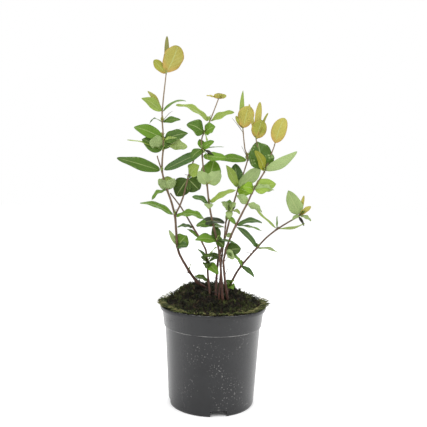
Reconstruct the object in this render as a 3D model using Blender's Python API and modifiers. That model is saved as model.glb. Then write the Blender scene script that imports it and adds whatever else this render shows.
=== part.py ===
"""Young tutsan in a round nursery pot: pot, heaped compost, red stems and masses of leaves.

Metres, +Z up. The origin is the middle of the pot's flat underside. Seen from the front, +X is
to the right and +Y goes away. Bearings in degrees: 0 right, 90 away, 180 left, 270 towards the
viewer.
"""
import math
import random
from collections import namedtuple

import bmesh
import bpy
from mathutils import Vector, noise

MM = 0.001
GAP = 0.0004
WELD = 0.000002

# Pot
POT_HEIGHT = 0.158
RIM_RADIUS = 0.085
LIP_HEIGHT = 0.006
LIP_EDGE = 0.0012
COLLAR_TOP_RADIUS = 0.0815
COLLAR_FOOT_RADIUS = 0.0785
COLLAR_DEPTH = 0.033
STEP_HEIGHT = 0.0012
WALL_TOP_RADIUS = 0.0762
WALL_FOOT_RADIUS = 0.0686
BASE_RADIUS = 0.0672
BASE_ROUND = 0.004
WALL = 0.0013
FLOOR = 0.003
POT_SEGMENTS = 40
NOTCHES = 4
NOTCH_WIDTH = 0.025
NOTCH_HEIGHT = 0.0075
NOTCH_DEPTH = 0.012
NOTCH_TURN = math.radians(-80)

# Compost
HEAP_EDGE = 0.1575
HEAP_RISE = 0.0245
HEAP_PEAK = Vector((-0.026, 0.03))
HEAP_RADIUS = 0.0795
HEAP_SHOULDER = 2.2
HEAP_LUMP = 0.002
HEAP_LUMPS_PER_METRE = 70
HEAP_RINGS = 8
HEAP_SEGMENTS = 20

# Stems
STEM_BEVEL_RESOLUTION = 1
STEM_STEPS = 2
FLARE = 1.45
FLARE_HEIGHT = 0.012
FOOT_SUNK = 0.0072
SOCKET_EXTRA = 0.002

# Leaves
MASS_SIDES = 7
MASS_STEPS = 3
MASS_LUMP = 0.16
MASS_END = 0.14
MASS_CAP = 0.35
TIP_CLEARANCE = 0.0016
SEED = 11

# A stem: its foot (right, away) in mm, its internodes (length in mm, lean to the right, lean away
# in degrees), its radius at foot and tip in mm, and for a fork its parent, the number of the
# parent's node and how far from that node's middle it starts, in mm.
Limb = namedtuple("Limb", "foot internodes thick parent node start", defaults=(None, 0, 0))

LIMBS = {
    "stem_left": Limb(
        (-12, 12),
        ((20, -56, -14), (40, -33, -8), (26, -23, 0), (50, -5, 4), (43, -19, 6),
         (32, -17, 6), (34, 2, 6), (31, -2, 5), (31, -4, 4), (63, 5, 2)),
        (2.3, 0.9)),
    "stem_cross": Limb(
        (-5, -15),
        ((33, -8, 10), (40, -6, 14), (43, -32, 18), (39, -33, 18), (30, -40, 14)),
        (2.0, 1.1)),
    "stem_centre": Limb(
        (15, -29),
        ((63, -5, -4), (35, -10, -6), (25, -15, -6), (34, -12, -5), (28, -7, -3),
         (27, -14, 2), (28, -5, 5), (18, -1, 5), (27, 25, 3), (37, 20, 0)),
        (2.1, 0.8)),
    "stem_inner": Limb(
        (4, -17),
        ((55, 2, 12), (46, 16, 16), (42, 13, 16), (38, 15, 14), (50, 18, 12), (18, -16, 8),
         (36, -7, 2)),
        (2.1, 0.9)),
    "stem_short": Limb(
        (9, -25),
        ((60, 2, 0), (35, 6, -4), (29, 4, -8), (20, 13, -12)),
        (1.8, 1.0)),
    "stem_right": Limb(
        (23, -24),
        ((64, -8, -8), (40, 14, -12), (23, 22, -14), (36, 25, -12), (25, 23, -8),
         (31, 30, -4)),
        (2.1, 1.2)),
    "branch_low": Limb(
        (20, -7),
        ((28, 24, 14), (25, 32, 20), (41, 43, 26), (18, 42, 26), (30, 51, 24), (47, 59, 16)),
        (2.2, 1.2)),
    "fork_left": Limb(
        None,
        ((31, 23, 16), (33, 12, 10), (26, 17, 6), (19, 15, 4)),
        (1.5, 1.1), "stem_left", 4, 0.5),
    "side_left": Limb(
        None,
        ((10, -17, -24), (16, -17, -22)),
        (1.2, 1.0), "stem_left", 6, 0.5),
    "tine_inner": Limb(
        None,
        ((34, -18, 14), (17, -12, 8)),
        (1.1, 0.8), "stem_right", 6, 0),
    "tine_outer": Limb(
        None,
        ((27, 20, 12), (17, 19, 4)),
        (1.1, 0.8), "stem_right", 6, 0),
}

# A mass of leaves: its limb and node (a half is midway to the next), one or two arms (bearing,
# rise in degrees, reach in mm), its girth (height, depth) in mm, and the tone of its leaves.
Mass = namedtuple("Mass", "limb node arms girth tone")

MASSES = {
    "tip_left": Mass("stem_left", 10, ((350, 86, 56),), (30, 24), "young"),
    "pair_left_high": Mass("stem_left", 9, ((188, 44, 44), (350, 18, 41)), (11, 18), "light"),
    "collar_left": Mass("stem_left", 8.5, ((160, 14, 23), (10, 15, 31)), (12, 22), "dark"),
    "crown_left": Mass("stem_left", 7.4, ((195, 20, 48), (350, 8, 40)), (34, 46), "dark"),
    "wisp_left": Mass("side_left", 2, ((185, 25, 53),), (10, 12), "dark"),
    "pair_left_long": Mass("stem_left", 6, ((185, 15, 74), (355, 24, 78)), (15, 22), "dark"),
    "fold_left": Mass("stem_left", 5, ((200, -18, 23), (350, 32, 25)), (26, 40), "light"),
    "pair_left_mid": Mass("stem_left", 4, ((184, 18, 59), (4, -6, 49)), (10, 18), "dark"),
    "pair_left_low": Mass("stem_left", 3, ((170, 59, 30), (10, 30, 20)), (16, 26), "dark"),
    "pair_cross": Mass("stem_cross", 3, ((175, 7, 25), (350, 34, 16)), (8, 12), "dark"),
    "centre_left": Mass("fork_left", 2, ((200, -54, 30), (10, 49, 25)), (30, 30), "dark"),
    "bud_centre": Mass("stem_centre", 10, ((180, 15, 15), (0, 7, 14)), (12, 16), "young"),
    "pair_centre_high": Mass("stem_centre", 9, ((182, 23, 54), (2, 15, 38)), (11, 18), "young"),
    "crown_centre": Mass("stem_centre", 8.3, ((182, 24, 29), (8, 7, 21)), (22, 44), "dark"),
    "cluster_centre": Mass("stem_centre", 7, ((190, 16, 19), (350, 6, 32)), (19, 44), "dark"),
    "pair_centre_low": Mass("stem_centre", 4, ((190, 16, 27), (355, 24, 43)), (12, 20), "dark"),
    "low_centre": Mass("stem_centre", 2, ((185, 8, 33), (5, 36, 24)), (14, 30), "dark"),
    "arch_leaf": Mass("stem_short", 3, ((182, -7, 43), (20, 36, 10)), (12, 18), "dark"),
    "rosette_inner": Mass("stem_short", 4, ((250, 88, 16),), (26, 30), "light"),
    "tip_inner": Mass("stem_inner", 7, ((10, 88, 59),), (24, 26), "young"),
    "pair_inner_high": Mass("stem_inner", 5, ((184, 7, 48), (4, 2, 19)), (10, 18), "dark"),
    "pair_inner_mid": Mass("stem_inner", 4, ((176, 58, 39), (4, 44, 49)), (18, 36), "light"),
    "tip_right_inner": Mass("tine_inner", 2, ((15, 83, 50),), (22, 26), "young"),
    "tip_right_outer": Mass("tine_outer", 2, ((350, 68, 40),), (20, 20), "young"),
    "pair_right_high": Mass("stem_right", 6, ((195, 65, 44), (350, 31, 54)), (16, 34), "light"),
    "pair_right_mid": Mass("stem_right", 5, ((180, 8, 19), (0, 7, 33)), (17, 32), "light"),
    "pair_right_low": Mass("stem_right", 4, ((180, 39, 22), (0, -20, 25)), (14, 24), "light"),
    "narrow_right": Mass("stem_right", 3, ((350, 4, 40), (182, 16, 12)), (11, 20), "dark"),
    "low_right": Mass("stem_right", 1.5, ((0, 2, 24), (190, -30, 12)), (16, 30), "dark"),
    "pair_branch_low": Mass("branch_low", 2, ((180, 58, 19), (350, -38, 27)), (9, 16), "light"),
    "pair_branch_mid": Mass("branch_low", 3, ((185, 43, 47), (0, -14, 37)), (9, 16), "light"),
    "pair_branch_high": Mass("branch_low", 5, ((185, 43, 55), (0, 13, 47)), (9, 16), "light"),
    "tip_branch": Mass("branch_low", 6, ((175, 86, 42),), (30, 28), "young"),
    "pair_centre_mid": Mass("stem_centre", 5, ((265, 60, 34), (95, 40, 32)), (18, 32), "light"),
    "foot_leaves": Mass("branch_low", 0.6, ((190, 30, 12), (0, 40, 18)), (10, 20), "dark"),
    "shoot_low": Mass("stem_cross", 1.5, ((120, 80, 21), (300, -50, 27)), (24, 40), "dark"),
}


def clear_scene():
    """Removes every object that is in the file."""
    for thing in list(bpy.data.objects):
        bpy.data.objects.remove(thing)


def new_collection(name):
    """A new collection in the scene."""
    made = bpy.data.collections.new(name)
    bpy.context.scene.collection.children.link(made)
    return made


def make_material(name, colour, roughness):
    """A Principled material with no metal in it."""
    material = bpy.data.materials.new(name)
    material.use_nodes = True
    shader = material.node_tree.nodes["Principled BSDF"]
    shader.inputs["Base Color"].default_value = (*colour, 1)
    shader.inputs["Roughness"].default_value = roughness
    shader.inputs["Metallic"].default_value = 0
    material.diffuse_color = (*colour, 1)
    return material


def add_object(name, mesh, home, material):
    """An object for a mesh, in a collection. A cutter has no material and stays out of the model."""
    thing = bpy.data.objects.new(name, mesh)
    home.objects.link(thing)
    mesh.materials.clear()
    if material:
        mesh.materials.append(material)
    else:
        thing.hide_render = True
        thing.display_type = "WIRE"
    return thing


def evaluated_mesh(thing):
    """The object's mesh with its modifiers, welded, in world space."""
    bpy.context.view_layer.update()
    depsgraph = bpy.context.evaluated_depsgraph_get()
    mesh = bpy.data.meshes.new_from_object(thing.evaluated_get(depsgraph))
    mesh.transform(thing.matrix_world)
    bm = bmesh.new()
    bm.from_mesh(mesh)
    bmesh.ops.remove_doubles(bm, verts=bm.verts, dist=WELD)
    bm.to_mesh(mesh)
    bm.free()
    return mesh


def shell_of(vert):
    """The vertices that are joined to a vertex by edges."""
    shell = {vert}
    ends = [vert]
    while ends:
        for edge in ends.pop().link_edges:
            for other in edge.verts:
                if other not in shell:
                    shell.add(other)
                    ends.append(other)
    return shell


def keep_main_body(mesh):
    """Deletes the slivers that a cut leaves, and keeps the closed body with the most vertices."""
    bm = bmesh.new()
    bm.from_mesh(mesh)
    main = set()
    for vert in bm.verts:
        if vert not in main:
            shell = shell_of(vert)
            if len(shell) > len(main):
                main = shell
    bmesh.ops.delete(bm, geom=[vert for vert in bm.verts if vert not in main], context="VERTS")
    bmesh.ops.triangulate(bm, faces=bm.faces)
    bm.to_mesh(mesh)
    bm.free()


def box_of(thing):
    """The lowest and highest corner of an object's mesh."""
    spans = [(min(values), max(values)) for values in zip(*(vert.co for vert in thing.data.vertices))]
    return [low for low, high in spans], [high for low, high in spans]


def near(a, b):
    """True where the boxes of two objects meet."""
    (low_a, high_a), (low_b, high_b) = box_of(a), box_of(b)
    return all(low_a[i] < high_b[i] and low_b[i] < high_a[i] for i in range(3))


def cut(thing, cutter):
    """Adds a modifier that cuts the cutter out of the object."""
    modifier = thing.modifiers.new("clear of " + cutter.name, "BOOLEAN")
    modifier.operation = "DIFFERENCE"
    modifier.object = cutter


def carve(thing, cutters):
    """Cuts the nearby cutters out of the object for good, and keeps its main body."""
    for cutter in cutters:
        if near(thing, cutter):
            cut(thing, cutter)
    mesh = evaluated_mesh(thing)
    keep_main_body(mesh)
    thing.modifiers.clear()
    thing.data = mesh


def turned(name, profile, segments, home, material):
    """A closed shape turned round Z from a profile that runs down its outer side."""
    mesh = bpy.data.meshes.new(name)
    edges = [(i, i + 1) for i in range(len(profile) - 1)]
    mesh.from_pydata([(radius, 0, height) for radius, height in profile], edges, [])
    thing = add_object(name, mesh, home, material)
    screw = thing.modifiers.new("turn", "SCREW")
    screw.steps = screw.render_steps = segments
    screw.use_merge_vertices = True
    screw.merge_threshold = 0.00001
    return thing


def make_pot(home, tools, material):
    """The pot: tapered wall, a collar that steps out over it, a lip, and notches round its foot."""
    lip_foot = POT_HEIGHT - LIP_HEIGHT
    collar_foot = POT_HEIGHT - COLLAR_DEPTH
    inner_edge = (COLLAR_TOP_RADIUS - WALL, POT_HEIGHT - LIP_EDGE)
    profile = [
        inner_edge,
        (COLLAR_TOP_RADIUS, POT_HEIGHT),
        (RIM_RADIUS - LIP_EDGE, POT_HEIGHT),
        (RIM_RADIUS, POT_HEIGHT - LIP_EDGE),
        (RIM_RADIUS, lip_foot + LIP_EDGE / 2),
        (RIM_RADIUS - LIP_EDGE / 2, lip_foot),
        (COLLAR_TOP_RADIUS, lip_foot),
        (COLLAR_FOOT_RADIUS, collar_foot + STEP_HEIGHT),
        (WALL_TOP_RADIUS, collar_foot),
        (WALL_FOOT_RADIUS, BASE_ROUND),
        (BASE_RADIUS, 0),
        (0, 0),
        (0, FLOOR),
        (BASE_RADIUS - WALL, FLOOR),
        (WALL_TOP_RADIUS - WALL, collar_foot),
        (COLLAR_FOOT_RADIUS - WALL, collar_foot + STEP_HEIGHT),
        inner_edge,
    ]
    pot = turned("pot", profile, POT_SEGMENTS, home, material)
    for i in range(NOTCHES):
        turn = NOTCH_TURN + 2 * math.pi * i / NOTCHES
        block = bmesh.new()
        bmesh.ops.create_cube(block, size=1)
        mesh = bpy.data.meshes.new("notch")
        block.to_mesh(mesh)
        block.free()
        notch = add_object(f"notch_{i + 1}", mesh, tools, None)
        notch.scale = (2 * NOTCH_DEPTH, NOTCH_WIDTH, 2 * NOTCH_HEIGHT)
        notch.rotation_euler.z = turn
        notch.location = (BASE_RADIUS * math.cos(turn), BASE_RADIUS * math.sin(turn), 0)
        cut(pot, notch)


def heap_height(x, y):
    """The height of the compost's top: a heap with steep sides and a gentle front."""
    out = Vector((x, y)) - HEAP_PEAK
    if out.length < WELD:
        return HEAP_EDGE + HEAP_RISE
    toward = out.normalized()
    along = HEAP_PEAK.dot(toward)
    reach = math.sqrt(along * along + HEAP_RADIUS ** 2 - HEAP_PEAK.length_squared) - along
    share = min(1.0, out.length / reach)
    shoulder = HEAP_SHOULDER - (HEAP_SHOULDER - 1) * max(0.0, -toward.y)
    rise = HEAP_RISE * (math.cos(math.pi * share ** shoulder) + 1) / 2
    lump = HEAP_LUMP * noise.noise(Vector((x, y, 0)) * HEAP_LUMPS_PER_METRE) * (1 - share)
    return HEAP_EDGE + rise + lump


def make_compost(sockets, home, material):
    """The compost: it fills the pot to the rim and heaps up round the stems' sockets."""
    collar_foot = POT_HEIGHT - COLLAR_DEPTH
    inset = WALL + GAP
    edge = COLLAR_TOP_RADIUS - inset - GAP
    top = [(edge * i / HEAP_RINGS, HEAP_EDGE) for i in range(HEAP_RINGS + 1)]
    wall = [
        (COLLAR_FOOT_RADIUS - inset, collar_foot + STEP_HEIGHT + GAP),
        (WALL_TOP_RADIUS - inset, collar_foot),
        (BASE_RADIUS - inset, FLOOR + GAP),
        (0, FLOOR + GAP),
    ]
    heap = turned("compost", top + wall, HEAP_SEGMENTS, home, material)
    mesh = evaluated_mesh(heap)
    heap.modifiers.clear()
    heap.data = mesh
    for vert in mesh.vertices:
        if vert.co.z > HEAP_EDGE - WELD and vert.co.xy.length < edge - WELD:
            vert.co.z = heap_height(vert.co.x, vert.co.y)
    carve(heap, sockets)


def catmull_rom(points, steps):
    """A smooth line through the points, with a number of steps for each stretch."""
    ends = [2 * points[0] - points[1], *points, 2 * points[-1] - points[-2]]
    line = [points[0].copy()]
    for i in range(len(points) - 1):
        a, b, c, d = ends[i:i + 4]
        for k in range(1, steps + 1):
            t = k / steps
            line.append((2 * b + (c - a) * t + (2 * a - 5 * b + 4 * c - d) * t ** 2
                         + (3 * b - a - 3 * c + d) * t ** 3) / 2)
    return line


def lean(right, away):
    """The direction of a stretch of stem that leans by these degrees."""
    return Vector((math.tan(math.radians(right)), math.tan(math.radians(away)), 1)).normalized()


def heading(bearing, rise):
    """The direction that points along a bearing and rises by so many degrees."""
    flat = math.cos(math.radians(rise))
    return Vector((math.cos(math.radians(bearing)) * flat, math.sin(math.radians(bearing)) * flat,
                   math.sin(math.radians(rise))))


def limb_nodes(limb, nodes):
    """The places of a limb's nodes, from its foot on the compost or its parent's node."""
    if limb.parent:
        at = nodes[limb.parent][limb.node] + lean(*limb.internodes[0][1:]) * (limb.start * MM)
    else:
        x, y = (value * MM for value in limb.foot)
        at = Vector((x, y, heap_height(x, y)))
    places = [at]
    for length, right, away in limb.internodes:
        at = at + lean(right, away) * (length * MM)
        places.append(at)
    return places


def limb_radius(limb, share, along):
    """The radius at a share of the limb's length, with a flare at its foot."""
    foot, tip = (value * MM for value in limb.thick)
    radius = foot + (tip - foot) * share
    if not limb.parent:
        radius *= 1 + (FLARE - 1) * max(0.0, 1 - along / FLARE_HEIGHT)
    return radius


def make_limb(name, limb, places, home, material, spare=0.0):
    """A limb as a tapering tube with flat ends. The spare thickens and lengthens a cutter."""
    points = catmull_rom(places, STEM_STEPS)
    foot = (points[1] - points[0]).normalized()
    longer = SOCKET_EXTRA if spare else 0
    if limb.parent:
        points[0] = points[0] - foot * longer
    else:
        points.insert(0, points[0] - foot * (FOOT_SUNK + longer))
    if spare:
        points.append(points[-1] + (points[-1] - points[-2]).normalized() * spare)
    along = [0.0]
    for a, b in zip(points, points[1:]):
        along.append(along[-1] + (b - a).length)
    data = bpy.data.curves.new(name + "_line", "CURVE")
    data.dimensions = "3D"
    data.bevel_depth = 1
    data.bevel_resolution = STEM_BEVEL_RESOLUTION
    data.use_fill_caps = True
    spline = data.splines.new("POLY")
    spline.points.add(len(points) - 1)
    for point, place, distance in zip(spline.points, points, along):
        point.co = (*place, 1)
        point.radius = limb_radius(limb, distance / along[-1], distance) + spare
    guide = bpy.data.objects.new(name + "_line", data)
    home.objects.link(guide)
    mesh = evaluated_mesh(guide)
    bpy.data.objects.remove(guide)
    return add_object(name, mesh, home, material)


def mass_line(mass, nodes):
    """The line that a mass follows: over its node from arm to arm, or out from it along one arm."""
    places = nodes[mass.limb]
    low = min(int(mass.node), len(places) - 2)
    middle = places[low].lerp(places[low + 1], mass.node - low)
    tips = [middle + heading(bearing, rise) * (reach * MM) for bearing, rise, reach in mass.arms]
    if len(tips) == 2:
        return catmull_rom([tips[0], middle, tips[1]], MASS_STEPS)
    start = middle + (tips[0] - middle).normalized() * TIP_CLEARANCE
    return catmull_rom([start, start.lerp(tips[0], 0.5), tips[0]], MASS_STEPS)


def make_mass(name, mass, nodes, home, material, spare=0.0):
    """An uneven closed pad of leaves, lofted along its line and widest in the middle."""
    chance = random.Random(f"{SEED} {mass.limb} {mass.node}")
    line = mass_line(mass, nodes)
    last = len(line) - 1
    height, depth = (size * MM / 2 for size in mass.girth)
    across = (line[-1] - line[0]).normalized()
    away = Vector((0, 1, 0)) if abs(across.y) < 0.8 else Vector((1, 0, 0))
    bm = bmesh.new()
    rings = []
    for i, place in enumerate(line):
        along = (line[min(i + 1, last)] - line[max(i - 1, 0)]).normalized()
        side = along.cross(away).normalized()
        away = side.cross(along).normalized()
        swell = math.sin(math.pi * (MASS_END + (1 - 2 * MASS_END) * i / last)) ** 0.7
        ring = []
        for k in range(MASS_SIDES):
            turn = 2 * math.pi * k / MASS_SIDES
            size = swell * (1 + MASS_LUMP * chance.uniform(-1, 1))
            out = side * (math.cos(turn) * (height * size + spare))
            ring.append(bm.verts.new(place + out + away * (math.sin(turn) * (depth * size + spare))))
        rings.append(ring)
    for low, high in zip(rings, rings[1:]):
        for k in range(MASS_SIDES):
            following = (k + 1) % MASS_SIDES
            bm.faces.new((low[k], low[following], high[k]))
            bm.faces.new((low[following], high[following], high[k]))
    for ring, end, inner in ((rings[0], line[0], line[1]), (rings[-1], line[-1], line[-2])):
        peak = bm.verts.new(end + (end - inner).normalized() * (MASS_CAP * min(height, depth) + spare))
        for k in range(MASS_SIDES):
            bm.faces.new((ring[k], ring[(k + 1) % MASS_SIDES], peak))
    bmesh.ops.recalc_face_normals(bm, faces=bm.faces)
    mesh = bpy.data.meshes.new(name)
    bm.to_mesh(mesh)
    bm.free()
    return add_object(name, mesh, home, material)


def make_stems(nodes, home, tools, material):
    """Every limb, cut clear of those before it where it forks off. Returns a sleeve for each."""
    sleeves = {}
    for name, limb in LIMBS.items():
        stem = make_limb(name, limb, nodes[name], home, material)
        if limb.parent:
            carve(stem, sleeves.values())
        sleeves[name] = make_limb(name + "_sleeve", limb, nodes[name], tools, None, GAP)
    return sleeves


def make_leaves(nodes, sleeves, home, tools, materials):
    """Every mass of leaves, cut round the limbs and clear of the masses before it."""
    cutters = list(sleeves.values())
    for name, mass in MASSES.items():
        carve(make_mass(name, mass, nodes, home, materials[mass.tone]), cutters)
        cutters.append(make_mass(name + "_shell", mass, nodes, tools, None, GAP))


def main():
    """Builds the plant in its pot."""
    clear_scene()
    model = new_collection("potted_tutsan")
    tools = new_collection("cutters")
    nodes = {}
    for name, limb in LIMBS.items():
        nodes[name] = limb_nodes(limb, nodes)

    make_pot(model, tools, make_material("grey_plastic", (0.045, 0.047, 0.05), 0.5))
    sleeves = make_stems(nodes, model, tools, make_material("red_bark", (0.16, 0.06, 0.04), 0.6))
    sockets = [sleeve for name, sleeve in sleeves.items() if not LIMBS[name].parent]
    make_compost(sockets, model, make_material("compost", (0.035, 0.025, 0.017), 0.95))
    make_leaves(nodes, sleeves, model, tools, {
        "young": make_material("young_leaf", (0.32, 0.34, 0.06), 0.45),
        "light": make_material("light_leaf", (0.24, 0.40, 0.14), 0.5),
        "dark": make_material("dark_leaf", (0.05, 0.14, 0.03), 0.45),
    })


if __name__ == "__main__":
    main()
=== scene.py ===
"""Looks of a young tutsan in its nursery pot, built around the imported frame.

Metres, +Z up, in the frame's own axes: +X is to the right and +Y goes away. The pot, the compost,
the stems and every mass of leaves are replaced by finer pieces. Leaves hang in pairs on the stems'
joints, and small shoots, stubs and dead twigs grow on from the stems by seeded rules.
"""
import math
import random
from collections import namedtuple

import bmesh
import bpy
from bpy.props import FloatProperty, FloatVectorProperty, IntProperty, PointerProperty
from mathutils import Matrix, Vector, noise
from mathutils.bvhtree import BVHTree


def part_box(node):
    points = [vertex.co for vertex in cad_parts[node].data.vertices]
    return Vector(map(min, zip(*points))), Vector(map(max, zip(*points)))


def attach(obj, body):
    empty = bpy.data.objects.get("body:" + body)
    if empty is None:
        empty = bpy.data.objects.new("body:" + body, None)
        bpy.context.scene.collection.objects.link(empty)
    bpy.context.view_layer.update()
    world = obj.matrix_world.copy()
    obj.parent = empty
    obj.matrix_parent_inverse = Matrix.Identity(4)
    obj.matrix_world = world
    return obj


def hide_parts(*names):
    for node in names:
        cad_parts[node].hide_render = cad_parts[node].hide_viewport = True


bl_info = {
    "name": "Potted Tutsan",
    "version": (1, 0, 0),
    "blender": (4, 5, 0),
    "location": "View3D > Sidebar > Plant",
    "description": "Builds the looks of a young tutsan in a nursery pot around its frame",
    "category": "Object",
}

MM = 0.001

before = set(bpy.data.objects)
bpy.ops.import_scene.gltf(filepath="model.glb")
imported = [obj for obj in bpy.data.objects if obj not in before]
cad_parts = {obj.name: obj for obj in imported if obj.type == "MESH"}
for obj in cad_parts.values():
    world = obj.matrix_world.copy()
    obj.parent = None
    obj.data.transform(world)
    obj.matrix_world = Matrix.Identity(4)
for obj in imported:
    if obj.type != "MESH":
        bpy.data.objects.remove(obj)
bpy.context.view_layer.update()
POT_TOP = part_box("pot")[1]
RIM_RADIUS = POT_TOP.x
POT_HEIGHT = POT_TOP.z
UP = Vector((0, 0, 1))
TO_VIEWER = Vector((0, -1, 0))

# Camera, fitted to the photograph, and the photograph's side in pixels
CAMERA_PLACE = Vector((-0.0027, -0.877, 0.3575))
CAMERA_PITCH = math.radians(3.5)
CAMERA_ROLL = math.radians(1.3)
CAMERA_LENS = 46.37
SENSOR = 36
PHOTO_SIDE = 427

# Stage: the floor's side, and each lamp's name, place, size and power in watts
FLOOR_SIZE = 6
LAMP_AIM = Vector((0, 0, 0.3))
LAMPS = (
    ("key", Vector((-0.9, -1.3, 1.9)), 1.4, 26),
    ("fill", Vector((1.4, -1.0, 1.3)), 1.4, 14),
    ("back", Vector((0.3, 1.5, 1.7)), 1.6, 22),
)

# Pot
COLLAR_TOP_RADIUS = RIM_RADIUS - 0.0035
COLLAR_FOOT_RADIUS = RIM_RADIUS - 0.0065
WALL_TOP_RADIUS = RIM_RADIUS - 0.0088
WALL_FOOT_RADIUS = RIM_RADIUS - 0.0164
BASE_RADIUS = RIM_RADIUS - 0.0178
COLLAR_DEPTH = 0.033
STEP_HEIGHT = POT_HEIGHT - COLLAR_DEPTH
STEP_RISE = 0.0016
STEP_INNER_RISE = 0.0012
LIP_HEIGHT = 0.006
LIP_ROUND = 0.0011
LIP_CORNER = 0.3 * LIP_ROUND
CORNER = 0.0004
CORNER_DROP = 0.0006
FOOT_ROUND = 0.004
POT_WALL = 0.0013
POT_FLOOR = 0.012
FOOT_RING = 0.002
POT_SIDES = 160
POT_WELD = 0.00001
POT_CREASE = math.radians(35)
NOTCHES = 4
NOTCH_TURN = math.radians(-80)
NOTCH_SIZE = Vector((0.024, 0.025, 0.018))
POT_TONES = (0.9, 1.15)
POT_CLOUDS = 30
# Specks: how many fit in a metre, and the noise at which they start and are full
DUST_SPECKS = (420, 0.62, 0.70)
DUST_PATCHES = (20, 0.46, 0.60)
CHALK = (90, 0.35, 0.60)
CHALK_LINE_HALF = 0.0008
DUST_COLOUR = (0.30, 0.295, 0.285, 1)
DUST_SHARE = 0.6

# Compost: a lump is its height and how many of it fit in a metre, a finish its roughness and shine
HEAP_RADIUS = COLLAR_TOP_RADIUS - POT_WALL - 0.0006
HEAP_RINGS = 110
HEAP_SPOKES = 260
HEAP_RING_POWER = 0.85
HEAP_LUMPS = ((0.0042, 95), (0.0018, 300))
HEAP_LIFT = 0.0008
HEAP_EDGE_FADE = 12
HEAP_FOOT_SHARE = 0.92
HEAP_PROBES = 8
HEAP_PROBE_REACH = 0.005
HEAP_PROBE_EDGE = 0.0015
PEAT_DARK = (0.003, 0.0025, 0.002)
PEAT_LIGHT = (0.014, 0.010, 0.006)
PEAT_FINISH = (0.95, 0.2)
PEAT_GRAIN = 300
PEAT_RELIEF = 0.001
CRUMB_LIGHT = (0.028, 0.018, 0.010)
CRUMB_GRAIN = 120
CRUMB_SIZES = (0.0016, 0.0060)
CRUMB_TILT = 3.0
CRUMB_LUMP = 0.45
CRUMB_LUMPS = 3
CRUMB_HEIGHT = 0.7
CRUMB_SEED = 3
MOSS_FINISH = (0.8, 0.25)
MOSS_PATCHES = (48, 0.42, 0.66)
TUFT_TILT = 0.7
TUFT_REACH = (0.12, 0.6)
TUFT_HEIGHT = (0.5, 1.0)
TUFT_NOD = 0.3
TUFT_TAPER = 0.8
TUFT_STEPS = 3
TUFT_BLADE_HALF = 0.045
STEEPEST = 0.25

# Each kind of tuft: its share of the moss, smallest and largest size, darker and lighter colour,
# seed, number of blades and how far they lean
Tuft = namedtuple("Tuft", "share small large dark light seed blades lean")
TUFTS = {
    "moss_dark": Tuft(0.42, 0.005, 0.012, (0.003, 0.004, 0.002), (0.05, 0.06, 0.013), 11, 7, 1.1),
    "moss_bright": Tuft(0.10, 0.005, 0.010, (0.03, 0.04, 0.008), (0.11, 0.13, 0.035), 12, 6, 1.3),
    "root_fibres": Tuft(0.02, 0.007, 0.013, (0.05, 0.025, 0.015), (0.22, 0.16, 0.09), 13, 3, 1.3),
}

# Strands of moss over the rim: most of them grow around these bearings
STRAND_BEARINGS = (-0.35, math.pi + 0.2)
STRAND_SPREAD = 0.35
STRAND_SHARE = 0.55
STRAND_INSET = (0.0005, 0.007)
STRAND_REACH = (0.006, 0.015)
STRAND_RISE = (0.3, 1.1)
STRAND_ASIDE = (-0.9, 0.9)
STRAND_ARCH = (1.3, 1.1)
STRAND_TIP_LIFT = 0.003
STRAND_SUNK = 0.0005
STRAND_SIDES = 3
STRAND_MIX = (0, 0, 1, 2)
STRAND_RADII = (0.00042, 0.00046, 0.0004, 0.0003, 0.00012)
STRAND_COLOURS = {
    "strand_dark": (0.02, 0.028, 0.006),
    "strand_green": (0.10, 0.12, 0.03),
    "strand_pale": (0.24, 0.22, 0.09),
}

# Each stem's radius at foot and tip, in mm
STEM_RADII = {
    "stem_left": (2.3, 0.9),
    "stem_cross": (2.0, 1.1),
    "stem_centre": (2.1, 0.8),
    "stem_inner": (2.1, 0.9),
    "stem_short": (1.8, 1.0),
    "stem_right": (2.1, 1.2),
    "branch_low": (2.2, 1.2),
    "fork_left": (1.5, 1.1),
    "side_left": (1.2, 1.0),
    "tine_inner": (1.1, 0.8),
    "tine_outer": (1.1, 0.8),
}
RING_SPACING = 0.0011
FEWEST_RINGS = 6
END_GAP = 0.004
LINE_SMOOTHING = 6
STEM_SIDES = 12
BARK_RELIEF = 0.12
BARK_LUMPS = 160
BARK_RIDGES = 2
SWELLING = 0.28
SWELLING_REACH = 0.0022
BARK_TONES = (0.55, 1.5)
BARK_STREAKS = 400
STREAK_STRETCH = (1, 1, 0.25)
STREAK_DEPTH = 0.0003
YOUNG_BARK = (0.19, 0.135, 0.075, 1)
YOUNG_BARK_HEIGHTS = (0.20, 0.46)

# How many dead twigs grow low on each stem, and the sizes of twigs and stubs
TWIGS_LOW = {"stem_left": 4, "stem_cross": 3, "stem_centre": 3, "stem_short": 3, "stem_inner": 3,
             "stem_right": 3, "branch_low": 3}
TWIG_HEIGHTS = (0.012, 0.075)
TWIG_REACH = (0.008, 0.022)
TWIG_RISE = (0.1, 1.2)
STUB_SHARE = 0.3
STUB_REACH = (0.003, 0.007)
STUB_RISE = (0.3, 1.5)
TWIG_CROOK = 0.35
TWIG_RADII = (0.0006, 0.00055, 0.0005, 0.0004, 0.00028)
TWIG_SIDES = 5
TWIG_FINISH = (0.7, 0.3)
TWIG_COLOURS = {"twig_dead": (0.018, 0.012, 0.009), "twig_stub": (0.10, 0.075, 0.035)}

# A leaf: its stem, the height of its joint in mm, where its tip shows in the photograph in pixels
# (right, down), how far away its tip lies from the joint in mm, its width and its arch in mm, how
# far its upper side turns from up (0) to the viewer (90) and how far its halves fold up, in
# degrees, and its kind. The rows below stand under their stem's name
Leaf = namedtuple("Leaf", "stem height seen away width arch face fold kind")

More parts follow.
